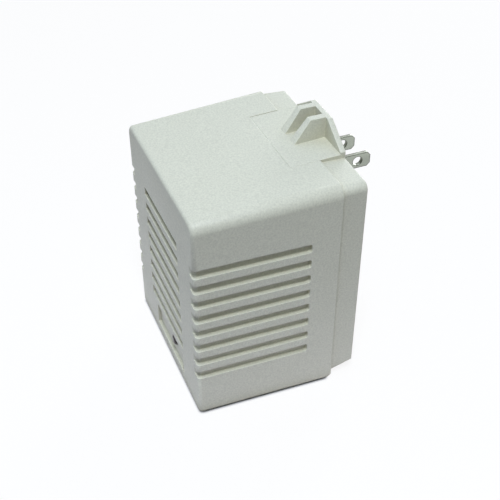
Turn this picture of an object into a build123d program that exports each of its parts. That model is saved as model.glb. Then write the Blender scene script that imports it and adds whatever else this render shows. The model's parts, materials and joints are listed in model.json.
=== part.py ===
from build123d import *
from math import radians, tan
import os

# A wall plug power supply: a deep moulded front shell, a shallow back cover with two flat blades and a
# screw tab, and inside them a mains transformer and a small rectifier board.
# X is the width, -Y the room side, +Y the wall side, Z up. The origin is the middle of the base.

os.makedirs("parts", exist_ok=True)

# Case
front_width = 72.0
front_height = 90.0
shell_depth = 55.0
cover_depth = 10.0
draft_angle = 2.2
wall = 3.0
top_round = 4.5
base_round = 1.2
front_round = 1.5
inner_round = 2.0
rear_chamfer = 2.0
moulding_gap = 0.2

# Grooves round the front corners and across the front
groove_count = 8
groove_pitch = 6.97
groove_height = 3.5
groove_depth = 1.5
groove_top = 71.15
side_groove_length = 44.0
groove_wrap = 4.0
groove_turn = 1.7
groove_end_round = 0.9
front_groove_length = 37.4

# Label recess and lamp hole in the front
recess_x = 2.2
recess_width = 32.4
recess_height = 10.3
recess_depth = 1.3
recess_bottom = 5.2
lamp_hole_diameter = 4.9
lamp_x = 5.4
lamp_height = 11.75

# Back cover
cover_wall = 2.6
cover_plate = 3.0
cover_inset = 1.2
cover_top_round = 3.0
cover_base_round = 1.5
cover_edge_round = 0.5
cover_base_slope = 0.2
pry_step = 1.0
pry_step_depth = 3.5
lip_length = 4.0
lip_wall = 1.5

# Tongue, tab and gussets on top of the cover
tongue_width = 37.3
tongue_length = 21.5
tongue_gap = 0.05
tongue_slit = 0.45
tab_thickness = 2.0
tab_rise = 10.7
tab_top_width = 14.4
tab_shoulder_rise = 3.1
tab_hole_diameter = 4.0
tab_hole_drop = 5.1
tab_hole_to_blades = 16.5
gusset_spacing = 8.1
gusset_top_spacing = 8.6
gusset_base_width = 4.0
gusset_top_width = 2.6
gusset_base_length = 15.0
gusset_top_length = 8.0
gusset_sink = 0.7
small_round = 0.4

# Blades, to the usual two-pin flat pattern
blade_spacing = 12.7
blade_width = 6.1
blade_thickness = 1.5
blade_length = 17.3
blade_tip = 1.3
blade_edge_round = 0.2
blade_hole_diameter = 3.9
blade_hole_from_wall = 11.9
blade_slot_gap = 0.1
blade_shoulder = 1.8
blade_shoulder_depth = 3.0
blade_tail_width = 5.0
blade_tail_length = 8.0
tail_hole_diameter = 2.0

# Blade clamp
clamp_width = 34.0
clamp_height = 12.0
clamp_thickness = 3.0
clamp_round = 1.5
clamp_screw_spacing = 26.0
clamp_boss_diameter = 6.4

# Screws
screw_gap = 0.1
case_screw_diameter = 3.5
case_screw_head = 6.5
case_screw_head_height = 2.4
case_screw_length = 18.0
case_screw_sink = 4.0
case_boss_diameter = 8.0
case_boss_x = 28.8
case_boss_low = 9.5
case_boss_high = 82.0
boss_web = 1.6
small_screw_diameter = 2.5
small_screw_head = 5.0
small_screw_head_height = 1.8
core_screw_bite = 12.0
core_screw_gap = 0.4

# Transformer
core_leg = 18.0
core_stack = 24.0
core_bottom = 31.0
core_y = -1.0
bobbin_wall = 1.0
bobbin_gap = 0.25
winding_setback = 0.9
tape_thickness = 0.35
winding_build = 6.6
winding_round = 3.0
tube_round = 0.5
leg_round = 0.2
cutout_diameter = 3.2
cutout_length = 9.0
cutout_x = -2.0
lead_diameter = 1.6
secondary_lead_diameter = 1.2
secondary_lead_spacing = 4.0
secondary_lead_x = -1.0
lead_bend = 0.9
lead_side = 2.2
lead_clear = 3.0
output_lead_inset = 1.6

# Circuit board and what stands on it
board_width = 48.0
board_length = 32.0
board_thickness = 1.6
board_round = 1.0
board_lift = 4.0
board_front_gap = 1.8
board_screw_x = 20.0
board_screw_inset = 3.5
standoff_diameter = 6.0
wire_lead = 0.7
lead_hole = 1.0
lead_stub = 1.2
filter_diameter = 16.0
filter_height = 19.5
filter_on_board = (-9.0, 12.7)
output_cap_diameter = 8.0
output_cap_height = 12.0
output_cap_on_board = (17.0, 11.7)
cap_lift = 0.3
crimp_height = 2.0
crimp_depth = 0.4
vent_inset = 1.5
bridge_diameter = 9.0
bridge_height = 5.5
bridge_on_board = (-12.0, 26.7)
bridge_pitch = 5.0
fuse_diameter = 7.0
fuse_thickness = 3.0
fuse_pitch = 5.0
fuse_round = 1.0
fuse_on_board = (-3.6, 25.7)
regulator_on_board = (8.0, 20.7)
regulator_width = 10.0
regulator_body_height = 9.0
regulator_body_depth = 3.2
regulator_taper = 5.0
regulator_tab_height = 15.5
regulator_tab_depth = 1.3
regulator_lift = 3.0
regulator_pitch = 2.54
regulator_hole = 3.6
heatsink_width = 18.0
heatsink_height = 19.0
heatsink_plate = 1.6
heatsink_fin = 7.0
heatsink_fin_pitch = 5.4
heatsink_fin_width = 1.2
heatsink_fins = 4
resistor_diameter = 2.4
resistor_length = 6.2
resistor_pitch = 10.0
resistor_on_board = (13.0, 6.2)
lamp_diameter = 4.6
lamp_stand = 1.2
lamp_dome = 1.2
lamp_flange_diameter = 5.6
lamp_flange = 1.0
lamp_wall_gap = 0.1
lamp_pitch = 2.54
lamp_lead_run = 4.4

# Output terminals in the base
terminal_lip_gap = 0.4
terminal_gap = 0.3
terminal_pocket = 8.6
terminal_pocket_depth = 5.0
terminal_wall = 1.2
terminal_height = 12.0
terminal_flange = 2.0
terminal_flange_thickness = 1.6
contact_thickness = 1.0
contact_width = 7.6
contact_tail_width = 2.4
contact_tail_rise = 3.0
terminal_screw_diameter = 3.0
terminal_screw_head = 5.6
terminal_screw_head_height = 2.0
terminal_screw_length = 4.0
slot_width = 0.9
slot_depth = 0.8

front_y = -(shell_depth + cover_depth) / 2
parting_y = front_y + shell_depth
wall_y = parting_y + cover_depth
slope = tan(radians(draft_angle))
tab_height = front_height + tab_rise
tab_shoulder_height = front_height + tab_shoulder_rise
tab_hole_height = tab_height - tab_hole_drop
blade_height = tab_hole_height - tab_hole_to_blades
reach = 5.0


def half_width(y):
    return front_width / 2 + slope * (y - front_y)


def top_height(y):
    return front_height + slope * (y - front_y)


def cover_half_width(y):
    return half_width(parting_y) - cover_inset - slope * (y - parting_y)


def cover_top(y):
    return top_height(parting_y) - cover_inset - slope * (y - parting_y)


def cover_bottom(y):
    return rear_chamfer + moulding_gap + cover_base_slope * (y - parting_y)


def across(y):
    """The upright plane at y that faces the room."""
    return Plane.XZ.offset(-y)


def tapered_block(y_from, y_to, half, low, high, low_round, high_round):
    """A block whose half width, bottom and top change evenly with depth, with its long edges rounded."""
    with BuildPart() as block:
        with BuildSketch(Plane.XY):
            with BuildLine():
                Polyline(
                    (-half(y_from), y_from),
                    (half(y_from), y_from),
                    (half(y_to), y_to),
                    (-half(y_to), y_to),
                    close=True,
                )
            make_face()
        extrude(amount=2 * front_height, both=True)
        with BuildSketch(Plane.YZ):
            with BuildLine():
                Polyline(
                    (y_from, low(y_from)),
                    (y_to, low(y_to)),
                    (y_to, high(y_to)),
                    (y_from, high(y_from)),
                    close=True,
                )
            make_face()
        extrude(amount=front_width, both=True, mode=Mode.INTERSECT)
        for group, radius in ((0, low_round), (-1, high_round)):
            long_edges = block.edges().filter_by(lambda edge: edge.bounding_box().size.Y > (y_to - y_from) / 2)
            fillet(long_edges.group_by(Axis.Z)[group], radius)
    return block.part


def shell_block(y_from, y_to, inset, low_round, high_round):
    """The body of the shell between two depths, every wall moved in by inset."""
    return tapered_block(
        y_from,
        y_to,
        lambda y: half_width(y) - inset,
        lambda y: inset,
        lambda y: top_height(y) - inset,
        low_round,
        high_round,
    )


def cover_block(y_from, y_to, inset, low_round, high_round):
    """The body of the back cover between two depths, every wall moved in by inset."""
    return tapered_block(
        y_from,
        y_to,
        lambda y: cover_half_width(y) - inset,
        lambda y: cover_bottom(y) + inset,
        lambda y: cover_top(y) - inset,
        low_round,
        high_round,
    )


def rod_y(places, diameter, y_from, y_to):
    """Round bars along Y, at places in X and Z."""
    with BuildPart() as rods:
        with BuildSketch(across(y_to)):
            with Locations(*places):
                Circle(diameter / 2)
        extrude(amount=y_to - y_from)
    return rods.part


def rod_z(places, diameter, z_from, z_to):
    """Round bars along Z, at places in X and Y."""
    with BuildPart() as rods:
        with BuildSketch(Plane.XY.offset(z_from)):
            with Locations(*places):
                Circle(diameter / 2)
        extrude(amount=z_to - z_from)
    return rods.part


def bent_wire(points, diameter, bend):
    """A round wire along straight runs with small bends."""
    with BuildPart() as wire:
        with BuildLine() as route:
            FilletPolyline(*points, radius=bend)
        with BuildSketch(Plane(origin=route.line @ 0, z_dir=route.line % 0)):
            Circle(diameter / 2)
        sweep()
    return wire.part


def save(piece, name):
    piece.part.label = name
    export_step(piece.part, f"parts/{name}.step")


case_screw_places = []
for boss_x in (-case_boss_x, case_boss_x):
    for boss_z in (case_boss_low, case_boss_high):
        case_screw_places.append((boss_x, boss_z))

# Board heights and screw places
board_bottom = wall + board_lift
board_top = board_bottom + board_thickness
board_front = front_y + wall + board_front_gap
board_back = board_front + board_length
board_screw_places = []
for screw_x in (-board_screw_x, board_screw_x):
    for screw_y in (board_front + board_screw_inset, board_back - board_screw_inset):
        board_screw_places.append((screw_x, screw_y))

# Terminal block outline
terminal_body_width = 2 * terminal_pocket + 3 * terminal_wall
terminal_body_length = terminal_pocket + 2 * terminal_wall
terminal_pitch = terminal_pocket + terminal_wall
terminal_back = parting_y - lip_length - terminal_lip_gap
terminal_y = terminal_back - terminal_flange - terminal_body_length / 2
terminal_places = [(-terminal_pitch / 2, terminal_y), (terminal_pitch / 2, terminal_y)]

# Front shell
groove_floors = [groove_top - step * groove_pitch - groove_height for step in range(groove_count)]
groove_end = front_y + side_groove_length

with BuildPart() as grooves:
    for level in groove_floors:
        with BuildSketch(Plane.XY.offset(level)):
            with BuildLine():
                Polyline(
                    (half_width(front_y) - groove_wrap, front_y - reach),
                    (half_width(front_y) - groove_wrap, front_y),
                    (half_width(front_y + groove_turn) - groove_depth, front_y + groove_turn),
                    (half_width(groove_end) - groove_depth, groove_end),
                    (half_width(groove_end) + reach, groove_end),
                    (half_width(groove_end) + reach, front_y - reach),
                    close=True,
                )
            make_face()
            mirror(about=Plane.YZ)
            with Locations((0, front_y)):
                Rectangle(front_groove_length, 2 * groove_depth)
        extrude(amount=groove_height)
    fillet(grooves.edges().filter_by(Axis.X).group_by(Axis.Y)[-1], groove_end_round)

with BuildPart() as shell:
    add(shell_block(front_y, parting_y, 0, base_round, top_round))
    fillet(shell.edges().group_by(Axis.Y)[0], front_round)
    add(shell_block(front_y + wall, parting_y + reach, wall, inner_round, inner_round), mode=Mode.SUBTRACT)
    add(grooves.part, mode=Mode.SUBTRACT)
    # the rear edge of the base is cut back at a slant
    with BuildSketch(Plane.YZ):
        with BuildLine():
            Polyline(
                (parting_y - rear_chamfer, 0),
                (parting_y + reach, rear_chamfer + reach),
                (parting_y + reach, -reach),
                (parting_y - rear_chamfer, -reach),
                close=True,
            )
        make_face()
    extrude(amount=front_width, both=True, mode=Mode.SUBTRACT)
    # notch in the top wall for the tongue of the back cover
    notch_front = wall_y - tongue_length - tongue_gap
    with BuildSketch(Plane.XY.offset(top_height(front_y) - wall)):
        with Locations(((tongue_gap - tongue_slit) / 2, (notch_front + parting_y + reach) / 2)):
            Rectangle(tongue_width + tongue_gap + tongue_slit, parting_y + reach - notch_front)
    extrude(amount=wall + reach, mode=Mode.SUBTRACT)
    # shallow recess and lamp hole in the front
    with BuildSketch(across(front_y)):
        with Locations((recess_x, recess_bottom + recess_height / 2)):
            RectangleRounded(recess_width, recess_height, small_round)
    extrude(amount=-recess_depth, mode=Mode.SUBTRACT)
    add(rod_y([(lamp_x, lamp_height)], lamp_hole_diameter, front_y, front_y + wall), mode=Mode.SUBTRACT)
    # screw bosses with webs to the side walls
    add(rod_y(case_screw_places, case_boss_diameter, front_y + wall / 2, parting_y))
    web_end = parting_y - lip_length - moulding_gap
    for boss_z in (case_boss_low, case_boss_high):
        with BuildSketch(Plane.XY.offset(boss_z - boss_web / 2)):
            with BuildLine():
                Polyline(
                    (case_boss_x, front_y + wall / 2),
                    (half_width(front_y) - wall / 2, front_y + wall / 2),
                    (half_width(web_end) - wall / 2, web_end),
                    (case_boss_x, web_end),
                    close=True,
                )
            make_face()
            mirror(about=Plane.YZ)
        extrude(amount=boss_web)
    case_pilot = case_screw_diameter + screw_gap
    pilot_end = wall_y - case_screw_sink - case_screw_length - screw_gap
    add(rod_y(case_screw_places, case_pilot, pilot_end, parting_y), mode=Mode.SUBTRACT)
    # standoffs under the circuit board
    add(rod_z(board_screw_places, standoff_diameter, wall / 2, board_bottom))
    add(rod_z(board_screw_places, small_screw_diameter + screw_gap, wall - screw_gap, board_bottom), mode=Mode.SUBTRACT)
    # opening in the base for the terminal block
    with BuildSketch(Plane.XY):
        with Locations((0, terminal_y)):
            Rectangle(terminal_body_width + 2 * terminal_gap, terminal_body_length + 2 * terminal_gap)
    extrude(amount=wall, mode=Mode.SUBTRACT)
save(shell, "front_shell")

# Back cover
core_width = 3 * core_leg
core_height = 2.5 * core_leg
core_back = core_y + core_stack / 2
core_front = core_y - core_stack / 2
core_hole_x = core_width / 2 - core_leg / 4
core_screw_places = []
for hole_x in (-core_hole_x, core_hole_x):
    for hole_z in (core_bottom + core_leg / 4, core_bottom + core_height - core_leg / 4):
        core_screw_places.append((hole_x, hole_z))
clamp_screw_places = [(-clamp_screw_spacing / 2, blade_height), (clamp_screw_spacing / 2, blade_height)]
blade_places = [(-blade_spacing / 2, blade_height), (blade_spacing / 2, blade_height)]
plate_y = wall_y - cover_plate
shoulder_y = plate_y - blade_shoulder_depth
tongue_front = wall_y - tongue_length
step_y = wall_y - pry_step_depth

def gusset(side):
    """A drafted rib behind the tab, from just under the tongue's surface to the top of the tab."""
    back = wall_y - tab_thickness / 2
    root_length = gusset_base_length - tab_thickness / 2
    crest_length = gusset_top_length - tab_thickness / 2
    with BuildSketch(Plane.XY.offset(top_height(wall_y - gusset_base_length) - gusset_sink)) as root:
        with Locations((side * gusset_spacing / 2, back - root_length / 2)):
            Rectangle(gusset_base_width, root_length)
    with BuildSketch(Plane.XY.offset(tab_height)) as crest:
        with Locations((side * gusset_top_spacing / 2, back - crest_length / 2)):
            Rectangle(gusset_top_width, crest_length)
    with BuildPart() as rib:
        loft([root.sketch, crest.sketch])
    return rib.part


with BuildPart() as cover:
    add(cover_block(parting_y, wall_y, 0, cover_base_round, cover_top_round))
    fillet(cover.edges().group_by(Axis.Y)[-1], cover_edge_round)
    add(cover_block(parting_y - reach, plate_y, cover_wall, inner_round, inner_round), mode=Mode.SUBTRACT)
    # lip that centres the cover inside the shell
    lip_outset = wall + moulding_gap
    lip_y = parting_y - lip_length
    add(shell_block(lip_y, parting_y + lip_length / 2, lip_outset, inner_round, inner_round))
    lip_hole = lip_outset + lip_wall
    add(shell_block(lip_y - reach, parting_y + lip_length, lip_hole, inner_round, inner_round), mode=Mode.SUBTRACT)
    # step along the bottom of the wall face
    with BuildSketch(Plane.YZ):
        with BuildLine():
            Polyline(
                (step_y, -reach),
                (step_y, cover_bottom(step_y) + pry_step),
                (wall_y + reach, cover_bottom(wall_y + reach) + pry_step),
                (wall_y + reach, -reach),
                close=True,
            )
        make_face()
    extrude(amount=front_width, both=True, mode=Mode.SUBTRACT)
    # tongue, flush with the sloping top of the shell
    with BuildSketch(Plane.YZ):
        with BuildLine():
            Polyline(
                (tongue_front, top_height(tongue_front) - lip_outset),
                (tongue_front, top_height(tongue_front)),
                (wall_y, top_height(wall_y)),
                (wall_y, cover_top(wall_y) - cover_wall),
                (parting_y, cover_top(parting_y) - cover_wall),
                (parting_y, top_height(parting_y) - lip_outset),
                close=True,
            )
        make_face()
    extrude(amount=tongue_width / 2, both=True)
    # screw tab against the wall
    with BuildSketch(across(wall_y)):
        with BuildLine():
            Polyline(
                (-tongue_width / 2, top_height(wall_y) - wall),
                (-tongue_width / 2, tab_shoulder_height),
                (-tab_top_width / 2, tab_height),
                (tab_top_width / 2, tab_height),
                (tongue_width / 2, tab_shoulder_height),
                (tongue_width / 2, top_height(wall_y) - wall),
                close=True,
            )
        make_face()
    extrude(amount=tab_thickness)
    # two drafted gussets behind the tab
    for side in (-1, 1):
        add(gusset(side))
    add(rod_y([(0, tab_hole_height)], tab_hole_diameter, wall_y - tab_thickness, wall_y), mode=Mode.SUBTRACT)
    # bosses for the case screws, the transformer and the blade clamp
    add(rod_y(case_screw_places, case_boss_diameter, parting_y, wall_y - cover_edge_round))
    add(rod_y(core_screw_places, case_boss_diameter, core_back, plate_y + cover_plate / 2))
    add(rod_y(clamp_screw_places, clamp_boss_diameter, shoulder_y, plate_y + cover_plate / 2))
    seat_y = wall_y - case_screw_sink
    add(rod_y(case_screw_places, case_screw_diameter + core_screw_gap, parting_y, wall_y), mode=Mode.SUBTRACT)
    add(rod_y(case_screw_places, case_screw_head + core_screw_gap, seat_y, wall_y), mode=Mode.SUBTRACT)
    bite_end = core_back + core_screw_bite + screw_gap
    add(rod_y(core_screw_places, case_pilot, core_back, bite_end), mode=Mode.SUBTRACT)
    add(
        rod_y(clamp_screw_places, small_screw_diameter + screw_gap, shoulder_y, plate_y + cover_plate / 2),
        mode=Mode.SUBTRACT,
    )
    # slots for the blades
    with BuildSketch(across(wall_y)):
        with Locations(*blade_places):
            Rectangle(blade_thickness + 2 * blade_slot_gap, blade_width + 2 * blade_slot_gap)
    extrude(amount=cover_plate, mode=Mode.SUBTRACT)
save(cover, "back_cover")

# Blades: stamped strips with a shoulder behind the plate and a solder tail
tail_end = shoulder_y - blade_tail_length
for blade_x, blade_name in ((blade_spacing / 2, "blade_live"), (-blade_spacing / 2, "blade_neutral")):
    with BuildPart() as blade:
        with BuildSketch(Plane.YZ.offset(blade_x)) as outline:
            with Locations(((plate_y + wall_y + blade_length) / 2, blade_height)):
                Rectangle(cover_plate + blade_length, blade_width)
            chamfer(outline.vertices().group_by(Axis.X)[-1], blade_tip)
            with Locations((plate_y - blade_shoulder_depth / 2, blade_height)):
                Rectangle(blade_shoulder_depth, blade_width + 2 * blade_shoulder)
            with Locations((shoulder_y - blade_tail_length / 2, blade_height)):
                Rectangle(blade_tail_length, blade_tail_width)
            with Locations((wall_y + blade_hole_from_wall, blade_height)):
                Circle(blade_hole_diameter / 2, mode=Mode.SUBTRACT)
            with Locations((tail_end + tail_hole_diameter, blade_height)):
                Circle(tail_hole_diameter / 2, mode=Mode.SUBTRACT)
        extrude(amount=blade_thickness / 2, both=True)
        long_edges = blade.edges().filter_by(Axis.Y).group_by(Axis.Z)
        fillet(long_edges[-1] + long_edges[0], blade_edge_round)
    save(blade, blade_name)

# Clamp plate that holds the blade shoulders against the cover, with its two screws
with BuildPart() as clamp:
    with BuildSketch(across(shoulder_y)):
        with Locations((0, blade_height)):
            RectangleRounded(clamp_width, clamp_height, clamp_round)
        with Locations(*blade_places):
            Rectangle(blade_thickness + 2 * blade_slot_gap, blade_tail_width + 2 * blade_slot_gap, mode=Mode.SUBTRACT)
        with Locations(*clamp_screw_places):
            Circle((small_screw_diameter + core_screw_gap) / 2, mode=Mode.SUBTRACT)
    extrude(amount=clamp_thickness)
save(clamp, "blade_clamp")


def screws_y(places, seat, shank, head, head_height, length, direction):
    """Cross-recess screws along Y: the head bears at seat, the shank runs from it in the given direction."""
    head_end = seat - direction * head_height
    with BuildPart() as screws:
        add(rod_y(places, head, min(seat, head_end), max(seat, head_end)))
        add(rod_y(places, shank, min(seat, seat + direction * length), max(seat, seat + direction * length)))
        with BuildSketch(across(head_end)):
            with Locations(*places):
                Rectangle(head / 2, slot_width)
                Rectangle(slot_width, head / 2)
        extrude(amount=-direction * slot_depth, mode=Mode.SUBTRACT)
    return screws


def screws_z(places, seat, shank, head, head_height, length, direction):
    """The same along Z: the shank runs from seat in the given direction."""
    head_end = seat - direction * head_height
    with BuildPart() as screws:
        add(rod_z(places, head, min(seat, head_end), max(seat, head_end)))
        add(rod_z(places, shank, min(seat, seat + direction * length), max(seat, seat + direction * length)))
        with BuildSketch(Plane.XY.offset(head_end)):
            with Locations(*places):
                Rectangle(head / 2, slot_width)
                Rectangle(slot_width, head / 2)
        extrude(amount=direction * slot_depth, mode=Mode.SUBTRACT)
    return screws


clamp_seat = shoulder_y - clamp_thickness
clamp_screw_length = clamp_thickness + blade_shoulder_depth
save(
    screws_y(clamp_screw_places, clamp_seat, small_screw_diameter, small_screw_head, small_screw_head_height,
             clamp_screw_length, 1),
    "clamp_screws",
)
save(
    screws_y(case_screw_places, seat_y, case_screw_diameter, case_screw_head, case_screw_head_height,
             case_screw_length, -1),
    "cover_screws",
)

# Transformer core: E laminations below, I laminations on top, corner holes through both
yoke = core_leg / 2
window_height = 1.5 * core_leg
window_bottom = core_bottom + yoke
window_top = window_bottom + window_height
with BuildPart() as core_e:
    with BuildSketch(across(core_back)):
        with Locations((0, (core_bottom + window_top) / 2)):
            Rectangle(core_width, window_top - core_bottom)
        with Locations((-core_leg * 0.75, (window_bottom + window_top) / 2),
                       (core_leg * 0.75, (window_bottom + window_top) / 2)):
            Rectangle(core_leg / 2, window_height, mode=Mode.SUBTRACT)
    extrude(amount=core_stack)
    add(rod_y(core_screw_places, case_screw_diameter + core_screw_gap, core_front, core_back), mode=Mode.SUBTRACT)
save(core_e, "core_e_stack")

with BuildPart() as core_i:
    with BuildSketch(across(core_back)):
        with Locations((0, window_top + yoke / 2)):
            Rectangle(core_width, yoke)
    extrude(amount=core_stack)
    add(rod_y(core_screw_places, case_screw_diameter + core_screw_gap, core_front, core_back), mode=Mode.SUBTRACT)
save(core_i, "core_i_stack")

save(
    screws_y(core_screw_places, core_front, case_screw_diameter, case_screw_head, case_screw_head_height,
             core_stack + core_screw_bite, 1),
    "transformer_screws",
)

# Split bobbin on the centre leg, with a winding in each half
bobbin_bottom = window_bottom + bobbin_gap
bobbin_top = window_top - bobbin_gap
bobbin_middle = (bobbin_bottom + bobbin_top) / 2


def ring_block(z_from, z_to, outer, inner, outer_round, inner_round):
    """A rectangular ring round the centre leg between two heights; outer and inner are half sizes."""
    with BuildPart() as ring:
        with BuildSketch(Plane.XY.offset(z_from)):
            with Locations((0, core_y)):
                RectangleRounded(2 * outer[0], 2 * outer[1], outer_round)
                RectangleRounded(2 * inner[0], 2 * inner[1], inner_round, mode=Mode.SUBTRACT)
        extrude(amount=z_to - z_from)
    return ring.part


leg_half = (core_leg / 2 + bobbin_gap, core_stack / 2 + bobbin_gap)
tube_half = (leg_half[0] + bobbin_wall, leg_half[1] + bobbin_wall)
winding_half = (tube_half[0] + winding_build, tube_half[1] + winding_build)
tape_half = (winding_half[0] + tape_thickness, winding_half[1] + tape_thickness)
flange_half = (winding_half[0] + winding_setback, winding_half[1] + winding_setback)
with BuildPart() as bobbin:
    add(ring_block(bobbin_bottom, bobbin_top, tube_half, leg_half, tube_round, leg_round))
    for flange_z in (bobbin_bottom, bobbin_middle - bobbin_wall / 2, bobbin_top - bobbin_wall):
        add(ring_block(flange_z, flange_z + bobbin_wall, flange_half, leg_half, bobbin_wall, leg_round))
save(bobbin, "bobbin")

primary_range = (bobbin_bottom + bobbin_wall, bobbin_middle - bobbin_wall / 2)
secondary_range = (bobbin_middle + bobbin_wall / 2, bobbin_top - bobbin_wall)
for winding_name, winding_range in (("primary_winding", primary_range), ("secondary_winding", secondary_range)):
    with BuildPart() as winding:
        add(ring_block(*winding_range, winding_half, tube_half, winding_round, tube_round))
    save(winding, winding_name)

with BuildPart() as tape:
    for tape_range in (primary_range, secondary_range):
        add(ring_block(*tape_range, tape_half, winding_half, winding_round + tape_thickness, winding_round))
save(tape, "winding_tape")

# Thermal cutout lying on the back of the primary
tape_back = core_y + tape_half[1]
tape_front = core_y - tape_half[1]
primary_z = sum(primary_range) / 2
secondary_z = sum(secondary_range) / 2
cutout_y = tape_back + cutout_diameter / 2
with BuildPart() as cutout:
    with BuildSketch(Plane.YZ.offset(cutout_x)):
        with Locations((cutout_y, primary_z)):
            Circle(cutout_diameter / 2)
    extrude(amount=cutout_length / 2, both=True)
    fillet(cutout.edges(), small_round)
save(cutout, "thermal_cutout")

# Mains leads from the blade tails to the primary
lead_y = tail_end + lead_clear
lead_z = primary_z + lead_diameter
live_x = blade_spacing / 2 + blade_thickness / 2
lead_x = live_x + lead_side
with BuildPart() as live_lead:
    live_route = [
        (live_x, lead_y, blade_height),
        (lead_x, lead_y, blade_height),
        (lead_x, lead_y, lead_z),
        (lead_x, tape_back, lead_z),
    ]
    add(bent_wire(live_route, lead_diameter, lead_bend))
save(live_lead, "live_lead")

with BuildPart() as neutral_lead:
    neutral_route = [
        (-live_x, lead_y, blade_height),
        (-lead_x, lead_y, blade_height),
        (-lead_x, lead_y, primary_z),
        (cutout_x - cutout_length / 2, lead_y, primary_z),
    ]
    cutout_route = [
        (cutout_x + cutout_length / 2, lead_y, primary_z),
        (cutout_x + cutout_length / 2 + lead_side, lead_y, primary_z),
        (cutout_x + cutout_length / 2 + lead_side, tape_back, primary_z),
    ]
    add(bent_wire(neutral_route, lead_diameter, lead_bend))
    add(bent_wire(cutout_route, lead_diameter, lead_bend))
save(neutral_lead, "neutral_lead")

# Low-voltage leads from the secondary down to the board
with BuildPart() as secondary_leads:
    drop_y = tape_front - lead_side
    for offset in (-secondary_lead_spacing / 2, secondary_lead_spacing / 2):
        drop_x = secondary_lead_x + offset
        secondary_route = [
            (drop_x, tape_front, secondary_z),
            (drop_x, drop_y, secondary_z),
            (drop_x, drop_y, board_top),
        ]
        add(bent_wire(secondary_route, secondary_lead_diameter, lead_bend))
save(secondary_leads, "secondary_leads")


def on_board(place):
    """A place given from the middle and the front edge of the board."""
    return (place[0], board_front + place[1])


def spread(at, pitch_x, pitch_y):
    """Lead places around a component, half a pitch to each side."""
    places = []
    for sign_x in ((-1, 1) if pitch_x else (0,)):
        for sign_y in ((-1, 1) if pitch_y else (0,)):
            places.append((at[0] + sign_x * pitch_x / 2, at[1] + sign_y * pitch_y / 2))
    return places


filter_at = on_board(filter_on_board)
output_cap_at = on_board(output_cap_on_board)
bridge_at = on_board(bridge_on_board)
fuse_at = on_board(fuse_on_board)
regulator_at = on_board(regulator_on_board)
resistor_at = on_board(resistor_on_board)

# Lead places of the components on the board
filter_leads = spread(filter_at, filter_diameter / 2, 0)
output_cap_leads = spread(output_cap_at, output_cap_diameter / 2, 0)
bridge_leads = spread(bridge_at, bridge_pitch, bridge_pitch)
fuse_leads = spread(fuse_at, 0, fuse_pitch)
regulator_lead_y = regulator_at[1] - regulator_tab_depth - regulator_body_depth / 2
regulator_leads = [(regulator_at[0] + step * regulator_pitch, regulator_lead_y) for step in (-1, 0, 1)]
resistor_leads = spread(resistor_at, resistor_pitch, 0)
lamp_front = front_y + recess_depth - lamp_stand
lamp_back = front_y + wall + lamp_wall_gap + lamp_flange
lamp_leads = spread((lamp_x, lamp_back + lamp_lead_run), lamp_pitch, 0)
stub_end = board_bottom - lead_stub

with BuildPart() as board:
    with BuildSketch(Plane.XY.offset(board_bottom)):
        with Locations((0, (board_front + board_back) / 2)):
            RectangleRounded(board_width, board_length, board_round)
        with Locations(*board_screw_places):
            Circle((small_screw_diameter + core_screw_gap) / 2, mode=Mode.SUBTRACT)
        for lead_places in (filter_leads, output_cap_leads, bridge_leads, fuse_leads, regulator_leads,
                            resistor_leads, lamp_leads):
            with Locations(*lead_places):
                Circle(lead_hole / 2, mode=Mode.SUBTRACT)
    extrude(amount=board_thickness)
save(board, "circuit_board")

board_screw_length = board_thickness + board_lift
save(
    screws_z(board_screw_places, board_top, small_screw_diameter, small_screw_head, small_screw_head_height,
             board_screw_length, -1),
    "board_screws",
)

# Electrolytic capacitors with a crimp above the base and a scored top
for cap_name, cap_at, cap_diameter, cap_height, cap_leads in (
    ("filter_capacitor", filter_at, filter_diameter, filter_height, filter_leads),
    ("output_capacitor", output_cap_at, output_cap_diameter, output_cap_height, output_cap_leads),
):
    cap_bottom = board_top + cap_lift
    with BuildPart() as capacitor:
        add(rod_z([cap_at], cap_diameter, cap_bottom, cap_bottom + cap_height))
        fillet(capacitor.edges(), small_round)
        with BuildSketch(Plane.XY.offset(cap_bottom + crimp_height)):
            with Locations(cap_at):
                Circle(cap_diameter / 2 + crimp_depth)
                Circle(cap_diameter / 2 - crimp_depth, mode=Mode.SUBTRACT)
        extrude(amount=crimp_depth * 2, mode=Mode.SUBTRACT)
        with BuildSketch(Plane.XY.offset(cap_bottom + cap_height)):
            with Locations(cap_at):
                Rectangle(cap_diameter - 2 * vent_inset, crimp_depth)
                Rectangle(crimp_depth, cap_diameter - 2 * vent_inset)
        extrude(amount=-crimp_depth / 2, mode=Mode.SUBTRACT)
        add(rod_z(cap_leads, wire_lead, stub_end, cap_bottom + small_round))
    save(capacitor, cap_name)

with BuildPart() as bridge:
    add(rod_z([bridge_at], bridge_diameter, board_top + cap_lift, board_top + cap_lift + bridge_height))
    fillet(bridge.edges(), small_round)
    add(rod_z(bridge_leads, wire_lead, stub_end, board_top + 2 * cap_lift + small_round))
save(bridge, "bridge_rectifier")

# Resettable fuse: a coated disc standing on its two leads
fuse_z = board_top + fuse_diameter / 2 + lead_stub
with BuildPart() as fuse:
    with BuildSketch(Plane.YZ.offset(fuse_at[0] - fuse_thickness / 2)):
        with Locations((fuse_at[1], fuse_z)):
            Circle(fuse_diameter / 2)
    extrude(amount=fuse_thickness)
    fillet(fuse.edges(), fuse_round)
    add(rod_z(fuse_leads, wire_lead, stub_end, fuse_z))
save(fuse, "resettable_fuse")

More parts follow.
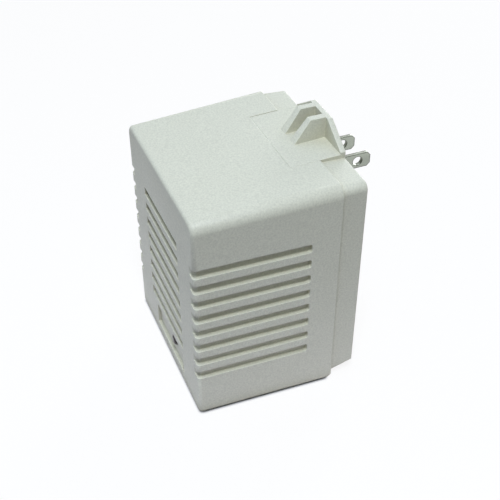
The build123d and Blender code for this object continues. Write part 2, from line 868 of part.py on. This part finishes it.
# Regulator standing against the heatsink
regulator_x, regulator_back = regulator_at
regulator_bottom = board_top + regulator_lift
hole_z = regulator_bottom + (regulator_body_height + regulator_tab_height) / 2
regulator_face = regulator_back - regulator_tab_depth
with BuildPart() as regulator:
    with BuildSketch(across(regulator_back)):
        with Locations((regulator_x, regulator_bottom + regulator_tab_height / 2)):
            Rectangle(regulator_width, regulator_tab_height)
        with Locations((regulator_x, hole_z)):
            Circle(regulator_hole / 2, mode=Mode.SUBTRACT)
    extrude(amount=regulator_tab_depth)
    with BuildSketch(across(regulator_face)):
        with Locations((regulator_x, regulator_bottom + regulator_body_height / 2)):
            Rectangle(regulator_width, regulator_body_height)
    extrude(amount=regulator_body_depth, taper=regulator_taper)
    add(rod_z(regulator_leads, wire_lead, stub_end, regulator_bottom + small_round))
save(regulator, "voltage_regulator")

with BuildPart() as heatsink:
    with BuildSketch(Plane.XY.offset(board_top)):
        with Locations((regulator_x, regulator_back + heatsink_plate / 2)):
            Rectangle(heatsink_width, heatsink_plate)
        with Locations((regulator_x, regulator_back + heatsink_plate + heatsink_fin / 2)):
            with GridLocations(heatsink_fin_pitch, 1, heatsink_fins, 1):
                Rectangle(heatsink_fin_width, heatsink_fin)
    extrude(amount=heatsink_height)
    tap_places = [(regulator_x, hole_z)]
    tap = terminal_screw_diameter + screw_gap
    add(rod_y(tap_places, tap, regulator_back, regulator_back + heatsink_plate), mode=Mode.SUBTRACT)
save(heatsink, "heatsink")

save(
    screws_y(tap_places, regulator_face, terminal_screw_diameter, terminal_screw_head, terminal_screw_head_height,
             regulator_tab_depth + heatsink_plate * 2, 1),
    "regulator_screw",
)

# Resistor lying on the board, and the lamp behind its hole
resistor_z = board_top + resistor_diameter / 2 + small_round
with BuildPart() as resistor:
    with BuildSketch(Plane.YZ.offset(resistor_at[0])):
        with Locations((resistor_at[1], resistor_z)):
            Circle(resistor_diameter / 2)
    extrude(amount=resistor_length / 2, both=True)
    fillet(resistor.edges(), small_round)
    resistor_route = [
        (*resistor_leads[0], stub_end),
        (*resistor_leads[0], resistor_z),
        (*resistor_leads[1], resistor_z),
        (*resistor_leads[1], stub_end),
    ]
    add(bent_wire(resistor_route, wire_lead, lead_bend))
save(resistor, "lamp_resistor")

with BuildPart() as lamp:
    add(rod_y([(lamp_x, lamp_height)], lamp_diameter, lamp_front, lamp_back))
    fillet(lamp.edges().group_by(Axis.Y)[0], lamp_dome)
    add(rod_y([(lamp_x, lamp_height)], lamp_flange_diameter, lamp_back - lamp_flange, lamp_back))
    for lamp_lead in lamp_leads:
        lamp_route = [
            (lamp_lead[0], lamp_back - lamp_flange / 2, lamp_height),
            (lamp_lead[0], lamp_lead[1], lamp_height),
            (lamp_lead[0], lamp_lead[1], stub_end),
        ]
        add(bent_wire(lamp_route, wire_lead, lead_bend))
save(lamp, "indicator_lamp")

# Terminal block standing in the base opening, its flange on the inside of the base
terminal_bottom = terminal_gap
roof = terminal_bottom + terminal_pocket_depth
block_top = terminal_bottom + terminal_height
tail_y = terminal_y - (contact_width - contact_thickness) / 2
screw_hole = terminal_screw_diameter + screw_gap
with BuildPart() as block:
    with BuildSketch(Plane.XY.offset(terminal_bottom)):
        with Locations((0, terminal_y)):
            Rectangle(terminal_body_width, terminal_body_length)
    extrude(amount=terminal_height)
    with BuildSketch(Plane.XY.offset(wall)):
        with Locations((0, terminal_y)):
            Rectangle(terminal_body_width + 2 * terminal_flange, terminal_body_length + 2 * terminal_flange)
    extrude(amount=terminal_flange_thickness)
    with BuildSketch(Plane.XY.offset(terminal_bottom)):
        with Locations(*terminal_places):
            Rectangle(terminal_pocket, terminal_pocket)
    extrude(amount=terminal_pocket_depth, mode=Mode.SUBTRACT)
    screw_end = roof - contact_thickness + terminal_screw_length + screw_gap
    add(rod_z(terminal_places, screw_hole, roof, screw_end), mode=Mode.SUBTRACT)
    with BuildSketch(Plane.XY.offset(roof)):
        with Locations(*[(place[0], tail_y) for place in terminal_places]):
            Rectangle(contact_tail_width + 2 * screw_gap, contact_thickness + 2 * screw_gap)
    extrude(amount=terminal_height, mode=Mode.SUBTRACT)
save(block, "terminal_block")

with BuildPart() as contacts:
    with BuildSketch(Plane.XY.offset(roof - contact_thickness)):
        with Locations(*terminal_places):
            Rectangle(contact_width, contact_width)
    extrude(amount=contact_thickness)
    with BuildSketch(Plane.XY.offset(roof)):
        with Locations(*[(place[0], tail_y) for place in terminal_places]):
            Rectangle(contact_tail_width, contact_thickness)
    extrude(amount=block_top + contact_tail_rise - roof)
    add(rod_z(terminal_places, screw_hole, roof - contact_thickness, roof), mode=Mode.SUBTRACT)
save(contacts, "terminal_contacts")

save(
    screws_z(terminal_places, roof - contact_thickness, terminal_screw_diameter, terminal_screw_head,
             terminal_screw_head_height, terminal_screw_length, 1),
    "terminal_screws",
)

with BuildPart() as output_leads:
    joint_y = tail_y - contact_thickness / 2
    joint_z = block_top + contact_tail_rise / 2
    for place in terminal_places:
        output_route = [
            (place[0], joint_y, joint_z),
            (place[0], board_back - output_lead_inset, joint_z),
            (place[0], board_back - output_lead_inset, board_top),
        ]
        add(bent_wire(output_route, secondary_lead_diameter, lead_bend))
save(output_leads, "output_leads")
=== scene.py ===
import json
from math import radians

import bpy
from mathutils import Matrix, Vector

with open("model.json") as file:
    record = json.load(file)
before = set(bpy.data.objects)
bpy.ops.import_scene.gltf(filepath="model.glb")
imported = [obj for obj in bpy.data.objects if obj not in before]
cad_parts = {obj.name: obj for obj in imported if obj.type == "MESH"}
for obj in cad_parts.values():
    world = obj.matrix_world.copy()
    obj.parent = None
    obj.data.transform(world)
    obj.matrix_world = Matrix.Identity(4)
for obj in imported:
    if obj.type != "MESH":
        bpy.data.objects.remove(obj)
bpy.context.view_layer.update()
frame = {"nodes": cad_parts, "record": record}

# A wall plug power supply in off-white plastic, on a white floor. Metres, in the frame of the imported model.

# Camera: place, the directions out of its back and to its right, and lens, from the fit to the photograph
CAMERA_AT = Vector((0.2608, -0.1042, 0.2711))
CAMERA_BACK = Vector((0.7191, -0.2963, 0.6286))
CAMERA_RIGHT = Vector((0.3809, 0.9246, 0.0))
CAMERA_LENS = 65.87
CAMERA_NEAREST = 0.01
SENSOR = 36.0

# Floor: its size, how far it lies under the base, how it looks and how much of that look is plain white
FLOOR_SIZE = 8.0
FLOOR_DROP = 0.0004
FLOOR_LOOK = (0.95, 0.95, 0.95)
FLOOR_LIFT = 0.88

# Painted contact shadow: a dark line on the floor where the object stands
CONTACT_SHADOW_WIDTH = 0.0013
CONTACT_SHADOW_LOOK = (0.16, 0.16, 0.16)

# Light the floor throws back: little from a band round the foot (painted shade on the base), most near it,
# little afar
FOOT_HALF_SIZE = (0.036, 0.0325, 1.0)
FOOT_SHADE_WIDTH = 0.004
FOOT_SHADE_BOUNCE = (0.02, 0.02, 0.02)
NEAR_WIDTH = 0.13
NEAR_BOUNCE = (0.66, 0.60, 0.67)
FAR_BOUNCE = (0.05, 0.05, 0.05)

# Soft surroundings: a cool bright side, over which directions it fades, and the dim rest
WINDOW_SIDE = (-0.67, -0.67, 0.32)
WINDOW_SPAN = (-0.4, 1.0)
WINDOW_COLOUR = (0.49, 0.56, 0.665)
DIM_COLOUR = (0.04, 0.04, 0.03)

# Square lamps: key from the camera's side, a weaker one for the back, and a faint one low at the cover's side
LAMPS = {
    "key": dict(
        place=(0.471, -0.190, 1.197), target=(0, 0, 0), size=0.3, power=11.7, colour=(0.94, 1.0, 1.10),
    ),
    "rear": dict(
        place=(-0.84, 0.84, 0.25), target=(0, 0, 0.05), size=0.5, power=6.0, colour=(0.98, 1.0, 1.02),
    ),
    "fill": dict(
        place=(0.25, 0.24, 0.05), target=(0.03, 0.03, 0.03), size=0.15, power=0.07, colour=(0.97, 1.0, 0.95),
    ),
}

# Mesh finish: distance under which points are one, and fine rounding of the case's edges by node
WELD_DISTANCE = 0.000002
SHARP_ANGLE = radians(40)
ROUNDING_SEGMENTS = 2
ROUNDING = {
    "front_shell": 0.00035,
    "back_cover": 0.0003,
}

# Masks: rays for each, cosine between rounded and true normals from an edge to a flat, openness from a
# corner to a flat, and how far round a point a corner counts
MASK_SAMPLES = 8
EDGE_COSINE = (0.80, 0.97)
OPENNESS = (0.4, 0.95)
CORNER_REACH = 0.008

# The middle part of a noise's values, which holds most of them
NOISE_SPAN = (0.3, 0.7)

# Plastic: cloudy mottling, wide smudges in the gloss and a spark-eroded texture, with noise scales per metre
MOTTLE_SCALE = 60.0
MOTTLE_SPAN = (0.35, 0.75)
MOTTLE_SHARE = 0.35
SMUDGE_SCALE = 18.0
SMUDGE_GLOSS = (-0.06, 0.08)
SPARK_SCALE = 1500.0
SPARK_GRAIN = 0.6
SPARK_SHARE = 0.5
SPARK_RELIEF = 0.5
SPARK_DEPTH = 0.00006
# paler edges: partly wear, partly a painted highlight
WEAR_AND_HIGHLIGHT_SHARE = 0.8
# tint of the painted shade in the case's corners and gaps
CORNER_SHADE_TINT = (0.5, 0.44, 0.3)
PLASTIC_IOR = 1.45

# Metal: dull patches and fine marks
PATCH_SCALE = 120.0
PATCH_SPAN = (0.4, 0.75)
PATCH_SHARE = 0.7
PATCH_SHADE = 0.72
MARK_SCALE = 1500.0
MARK_GLOSS = (-0.08, 0.12)
MARK_RELIEF = 0.25
MARK_DEPTH = 0.00002

# Finishes by the record's material slots. Colour and dirt are linear red, green and blue. Speck is how dark
# the specks are, edge how wide the paler edges are, the next how much paler they are, partly wear and partly
# a painted highlight, and the last how dark the painted shade in the corners is.
PLASTICS = {
    "case_plastic": dict(
        colour=(0.715, 0.72, 0.60), dirt=(0.685, 0.69, 0.565), roughness=0.5,
        speck=0.18, edge=0.0005, wear_and_highlight=1.3, painted_shade=0.32,
    ),
    "clamp_plastic": dict(colour=(0.02, 0.018, 0.016), dirt=(0.03, 0.028, 0.025), roughness=0.45),
    "bobbin_plastic": dict(colour=(0.74, 0.72, 0.65), dirt=(0.66, 0.64, 0.56), roughness=0.4),
    "tape_film": dict(colour=(0.72, 0.50, 0.05), dirt=(0.62, 0.42, 0.04), roughness=0.25),
    "cutout_sleeve": dict(colour=(0.72, 0.70, 0.64), dirt=(0.62, 0.60, 0.54), roughness=0.3),
    "black_insulation": dict(colour=(0.012, 0.012, 0.012), dirt=(0.02, 0.02, 0.02), roughness=0.32),
    "white_insulation": dict(colour=(0.74, 0.74, 0.71), dirt=(0.66, 0.66, 0.62), roughness=0.32),
    "red_insulation": dict(colour=(0.42, 0.02, 0.015), dirt=(0.34, 0.015, 0.01), roughness=0.32),
    "board_laminate": dict(colour=(0.36, 0.20, 0.07), dirt=(0.28, 0.15, 0.05), roughness=0.4),
    "capacitor_sleeve": dict(colour=(0.012, 0.018, 0.05), dirt=(0.02, 0.026, 0.06), roughness=0.25),
    "black_epoxy": dict(colour=(0.014, 0.014, 0.014), dirt=(0.025, 0.025, 0.025), roughness=0.5),
    "fuse_coating": dict(colour=(0.70, 0.38, 0.03), dirt=(0.60, 0.30, 0.02), roughness=0.35),
    "resistor_coating": dict(colour=(0.55, 0.40, 0.20), dirt=(0.48, 0.34, 0.16), roughness=0.4),
    "lamp_resin": dict(colour=(0.012, 0.006, 0.010), dirt=(0.016, 0.008, 0.012), roughness=0.2),
    "terminal_plastic": dict(colour=(0.02, 0.02, 0.02), dirt=(0.03, 0.03, 0.03), roughness=0.45),
}

# Stretch draws the marks out along the axis with the small number
METALS = {
    "blade_metal": dict(
        colour=(0.37, 0.40, 0.345), roughness=0.3, stretch=(1, 0.05, 1), edge=0.0009, edge_shade=0.2,
    ),
    "screw_steel": dict(colour=(0.60, 0.60, 0.58), roughness=0.32),
    "sink_aluminium": dict(colour=(0.72, 0.73, 0.74), roughness=0.35, stretch=(1, 1, 0.06)),
    "contact_brass": dict(colour=(0.62, 0.43, 0.16), roughness=0.3),
}

# Stacked steel sheets and layers of wound wire, as fine bands that follow one another along an axis
LAYERS = {
    "core_steel": dict(
        colour=(0.16, 0.16, 0.17), gap=(0.03, 0.03, 0.03), metallic=0.8, roughness=0.5,
        axis="Y", scale=314.0, distortion=0.6, detail_scale=40.0, relief=0.5, depth=0.00008,
    ),
    "winding_wire": dict(
        colour=(0.55, 0.20, 0.07), gap=(0.16, 0.05, 0.02), metallic=0.7, roughness=0.35,
        axis="Z", scale=800.0, distortion=1.2, detail_scale=30.0, relief=0.6, depth=0.0001,
    ),
}


def set_inputs(node, **values):
    """Sets a node's sockets by name, with underscores for spaces."""
    for key, value in values.items():
        node.inputs[key.replace("_", " ")].default_value = value


def add_node(tree, kind, **values):
    node = tree.nodes.new(kind)
    set_inputs(node, **values)
    return node


def surface(name):
    """A new material with its node tree and its surface shader."""
    material = bpy.data.materials.new(name)
    material.use_nodes = True
    return material, material.node_tree, material.node_tree.nodes["Principled BSDF"]


def coordinates(tree, stretch=(1, 1, 1)):
    """Object coordinates, in metres, times the stretch."""
    source = add_node(tree, "ShaderNodeTexCoord")
    mapping = add_node(tree, "ShaderNodeMapping", Scale=stretch)
    tree.links.new(source.outputs["Object"], mapping.inputs["Vector"])
    return mapping.outputs["Vector"]


def noise(tree, vector, scale, detail=3.0, roughness=0.5):
    node = add_node(tree, "ShaderNodeTexNoise", Scale=scale, Detail=detail, Roughness=roughness)
    tree.links.new(vector, node.inputs["Vector"])
    return node.outputs["Fac"]


def ramp(tree, value, low, high, span=(0.0, 1.0)):
    """The value moved from its span to the range from low to high, and kept inside it."""
    node = add_node(tree, "ShaderNodeMapRange", From_Min=span[0], From_Max=span[1], To_Min=low, To_Max=high)
    tree.links.new(value, node.inputs["Value"])
    return node.outputs["Result"]


def combine(tree, kind, operation, first, second=None):
    """The node of a Math or Vector Math operation on a socket and, if given, another socket or a constant."""
    node = tree.nodes.new(kind)
    node.operation = operation
    tree.links.new(first, node.inputs[0])
    if isinstance(second, tuple):
        node.inputs[1].default_value = second
    elif second is not None:
        tree.links.new(second, node.inputs[1])
    return node


def number_math(tree, operation, first, second):
    return combine(tree, "ShaderNodeMath", operation, first, second).outputs["Value"]


def vector_math(tree, operation, first, second=None):
    node = combine(tree, "ShaderNodeVectorMath", operation, first, second)
    return node.outputs["Value" if operation in ("LENGTH", "DOT_PRODUCT") else "Vector"]


def blend_colours(tree, factor, first, second):
    """The first colour where the factor is 0 and the second where it is 1, each a socket or a tuple."""
    node = tree.nodes.new("ShaderNodeMix")
    node.data_type = "RGBA"
    tree.links.new(factor, node.inputs["Factor"])
    # the node repeats its socket names for numbers, vectors and colours: the colours are the third set
    first_colour, second_colour, result = node.inputs[6], node.inputs[7], node.outputs[2]
    for socket, colour in ((first_colour, first), (second_colour, second)):
        if isinstance(colour, tuple):
            socket.default_value = (*colour, 1.0)
        else:
            tree.links.new(colour, socket)
    return result


def blend_shaders(tree, factor, first, second, output):
    """Sends the first shader to the output node where the factor is 0 and the second where it is 1."""
    node = tree.nodes.new("ShaderNodeMixShader")
    for source, socket in zip((factor, first, second), node.inputs):
        tree.links.new(source, socket)
    tree.links.new(node.outputs["Shader"], output.inputs["Surface"])


def bump(tree, shader, height, strength, distance, normal=None):
    node = add_node(tree, "ShaderNodeBump", Strength=strength, Distance=distance)
    tree.links.new(height, node.inputs["Height"])
    if normal is not None:
        tree.links.new(normal, node.inputs["Normal"])
    tree.links.new(node.outputs["Normal"], shader.inputs["Normal"])


def rounded(tree, radius):
    """Normals rounded over every edge within the radius."""
    node = add_node(tree, "ShaderNodeBevel", Radius=radius)
    node.samples = MASK_SAMPLES
    return node.outputs["Normal"]


def edge_mask(tree, normal):
    """1 on the edges that the rounded normals soften, 0 on the flats."""
    geometry = tree.nodes.new("ShaderNodeNewGeometry")
    cosine = vector_math(tree, "DOT_PRODUCT", normal, geometry.outputs["True Normal"])
    return ramp(tree, cosine, 1.0, 0.0, EDGE_COSINE)


def corner_mask(tree, reach):
    """1 in inner corners and narrow gaps, 0 in the open."""
    node = add_node(tree, "ShaderNodeAmbientOcclusion", Distance=reach)
    node.samples = MASK_SAMPLES
    return ramp(tree, node.outputs["AO"], 1.0, 0.0, OPENNESS)


def shaded(colour, factor):
    return tuple(min(1.0, channel * factor) for channel in colour)


def plastic(name, colour, dirt, roughness, speck=0.16, edge=0.0003, wear_and_highlight=1.08, painted_shade=0.0):
    """Moulded plastic: spark texture, specks, faint mottling, paler edges (partly wear, partly a painted
    highlight) and painted shade in the corners.
    """
    material, tree, shader = surface(name)
    vector = coordinates(tree)
    mottle = noise(tree, vector, MOTTLE_SCALE, detail=4.0)
    smudge = noise(tree, vector, SMUDGE_SCALE, detail=2.0)
    spark = noise(tree, vector, SPARK_SCALE, detail=2.0, roughness=SPARK_GRAIN)
    normal = rounded(tree, edge)
    base = blend_colours(tree, ramp(tree, mottle, 0.0, MOTTLE_SHARE, MOTTLE_SPAN), colour, dirt)
    specks = ramp(tree, spark, SPARK_SHARE, 0.0, NOISE_SPAN)
    specked = blend_colours(tree, specks, base, shaded(colour, 1 - speck / SPARK_SHARE))
    # paler edges: partly wear, partly a painted highlight on lips and seams
    rubbed_and_highlit = ramp(tree, edge_mask(tree, normal), 0.0, WEAR_AND_HIGHLIGHT_SHARE)
    worn_and_highlit = blend_colours(tree, rubbed_and_highlit, specked, shaded(colour, wear_and_highlight))
    # painted shade: corners and gaps darkened by how closed in they are, in a warm tint
    shade_colour = tuple(channel * tint for channel, tint in zip(dirt, CORNER_SHADE_TINT))
    corner_shade = ramp(tree, corner_mask(tree, CORNER_REACH), 0.0, painted_shade)
    tree.links.new(blend_colours(tree, corner_shade, worn_and_highlit, shade_colour), shader.inputs["Base Color"])
    glossy, dull = (roughness + change for change in SMUDGE_GLOSS)
    tree.links.new(ramp(tree, smudge, glossy, dull, NOISE_SPAN), shader.inputs["Roughness"])
    bump(tree, shader, spark, SPARK_RELIEF, SPARK_DEPTH, normal)
    set_inputs(shader, IOR=PLASTIC_IOR)
    return material


def metal(name, colour, roughness, stretch=(1, 1, 1), edge=0.0002, edge_shade=0.3):
    """Metal with fine marks along one direction, duller patches and edges painted darker as shade."""
    material, tree, shader = surface(name)
    marks = noise(tree, coordinates(tree, stretch), MARK_SCALE)
    patches = noise(tree, coordinates(tree), PATCH_SCALE)
    patched = ramp(tree, patches, 0.0, PATCH_SHARE, PATCH_SPAN)
    face = blend_colours(tree, patched, colour, shaded(colour, PATCH_SHADE))
    normal = rounded(tree, edge)
    # painted shade: the edges darkened
    edged = blend_colours(tree, edge_mask(tree, normal), face, shaded(colour, edge_shade))
    tree.links.new(edged, shader.inputs["Base Color"])
    glossy, dull = (roughness + change for change in MARK_GLOSS)
    tree.links.new(ramp(tree, marks, glossy, dull, NOISE_SPAN), shader.inputs["Roughness"])
    bump(tree, shader, marks, MARK_RELIEF, MARK_DEPTH, normal)
    set_inputs(shader, Metallic=1.0)
    return material


def layered(name, colour, gap, metallic, roughness, axis, scale, distortion, detail_scale, relief, depth):
    """Metal in fine layers along an axis, with darker gaps between them."""
    material, tree, shader = surface(name)
    wave = add_node(tree, "ShaderNodeTexWave", Scale=scale, Distortion=distortion, Detail_Scale=detail_scale)
    wave.bands_direction = axis
    tree.links.new(coordinates(tree), wave.inputs["Vector"])
    layers = wave.outputs["Fac"]
    tree.links.new(blend_colours(tree, layers, gap, colour), shader.inputs["Base Color"])
    bump(tree, shader, layers, relief, depth)
    set_inputs(shader, Metallic=metallic, Roughness=roughness)
    return material


def finishes():
    """Every finish as a material, by the record's material slot."""
    made = {}
    for make, looks in ((plastic, PLASTICS), (metal, METALS), (layered, LAYERS)):
        for slot, look in looks.items():
            made[slot] = make(slot, **look)
    return made


def dress(node, finish, rounding):
    """Gives a CAD node its finish and, where it has a rounding, fine rounded edges."""
    node.data.materials.clear()
    node.data.materials.append(finish)
    weld = node.modifiers.new("weld", "WELD")
    weld.merge_threshold = WELD_DISTANCE
    if rounding:
        bevel = node.modifiers.new("rounding", "BEVEL")
        bevel.width = rounding
        bevel.segments = ROUNDING_SEGMENTS
        bevel.limit_method = "ANGLE"
        bevel.angle_limit = SHARP_ANGLE


def dress_all():
    materials = finishes()
    for row in frame["record"]["subparts"]:
        name = row["node"]
        dress(frame["nodes"][name], materials[row["material_slot"]], ROUNDING.get(name))


def seen_directly(tree):
    """1 for rays from the camera and for what metal and glass show, 0 for diffuse light."""
    rays = tree.nodes.new("ShaderNodeLightPath").outputs
    straight = number_math(tree, "MAXIMUM", rays["Is Camera Ray"], rays["Is Glossy Ray"])
    return number_math(tree, "MAXIMUM", straight, rays["Is Transmission Ray"])


def from_foot(tree):
    """Distance on the floor from the object's foot."""
    beyond = vector_math(tree, "SUBTRACT", vector_math(tree, "ABSOLUTE", coordinates(tree)), FOOT_HALF_SIZE)
    return vector_math(tree, "LENGTH", vector_math(tree, "MAXIMUM", beyond, (0.0, 0.0, 0.0)))


def floor_finish():
    """Matte, seen nearly white with the object's shadow and a painted contact shadow; round the foot it
    paints shade on the base.
    """
    material, tree, shader = surface("floor")
    distance = from_foot(tree)
    far = ramp(tree, distance, 0.0, 1.0, (NEAR_WIDTH / 2, NEAR_WIDTH))
    # a dark band round the foot, seen only by diffuse light, paints shade on the object's lowest edge
    past_foot_shade = ramp(tree, distance, 0.0, 1.0, (FOOT_SHADE_WIDTH / 2, FOOT_SHADE_WIDTH))
    bounce = blend_colours(tree, past_foot_shade, FOOT_SHADE_BOUNCE, blend_colours(tree, far, NEAR_BOUNCE, FAR_BOUNCE))
    # painted contact shadow: the floor seen darker where the object closes it in
    clear = ramp(tree, corner_mask(tree, CONTACT_SHADOW_WIDTH), 1.0, 0.0)
    look = blend_colours(tree, clear, CONTACT_SHADOW_LOOK, FLOOR_LOOK)
    seen = seen_directly(tree)
    tree.links.new(blend_colours(tree, seen, bounce, look), shader.inputs["Base Color"])
    set_inputs(shader, Roughness=1.0, Specular_IOR_Level=0.0)
    white = add_node(tree, "ShaderNodeEmission", Strength=1.0)
    lift = number_math(tree, "MULTIPLY", ramp(tree, seen, 0.0, FLOOR_LIFT), clear)
    output = tree.nodes["Material Output"]
    blend_shaders(tree, lift, shader.outputs["BSDF"], white.outputs["Emission"], output)
    return material


def floor():
    bpy.ops.mesh.primitive_plane_add(size=FLOOR_SIZE, location=(0, 0, -FLOOR_DROP))
    plane = bpy.context.object
    plane.name = "floor"
    plane.data.materials.append(floor_finish())


def surroundings():
    """Soft light from all round, cool and bright on the room side, dim and warm elsewhere, seen as white."""
    world = bpy.data.worlds.new("studio")
    bpy.context.scene.world = world
    world.use_nodes = True
    tree = world.node_tree
    light = tree.nodes["Background"]
    facing = vector_math(tree, "DOT_PRODUCT", coordinates(tree), WINDOW_SIDE)
    window = ramp(tree, facing, 0.0, 1.0, WINDOW_SPAN)
    tree.links.new(blend_colours(tree, window, DIM_COLOUR, WINDOW_COLOUR), light.inputs["Color"])
    set_inputs(light, Strength=1.0)
    white = add_node(tree, "ShaderNodeBackground", Color=(1.0, 1.0, 1.0, 1.0), Strength=1.0)
    output = tree.nodes["World Output"]
    blend_shaders(tree, seen_directly(tree), light.outputs["Background"], white.outputs["Background"], output)


def square_lamp(name, place, target, size, power, colour):
    data = bpy.data.lights.new(name, "AREA")
    data.size = size
    data.energy = power
    data.color = colour
    lamp = bpy.data.objects.new(name, data)
    bpy.context.scene.collection.objects.link(lamp)
    lamp.location = place
    lamp.rotation_euler = (Vector(target) - Vector(place)).to_track_quat("-Z", "Y").to_euler()


def camera():
    data = bpy.data.cameras.new("camera")
    data.sensor_width = SENSOR
    data.lens = CAMERA_LENS
    data.clip_start = CAMERA_NEAREST
    eye = bpy.data.objects.new("camera", data)
    bpy.context.scene.collection.objects.link(eye)
    back = CAMERA_BACK.normalized()
    right = CAMERA_RIGHT.normalized()
    up = back.cross(right)
    eye.matrix_world = Matrix.Translation(CAMERA_AT) @ Matrix((right, up, back)).transposed().to_4x4()
    bpy.context.scene.camera = eye


dress_all()
floor()
surroundings()
for lamp_name, lamp_setting in LAMPS.items():
    square_lamp(lamp_name, **lamp_setting)
camera()
bpy.context.scene.view_settings.view_transform = "Standard"
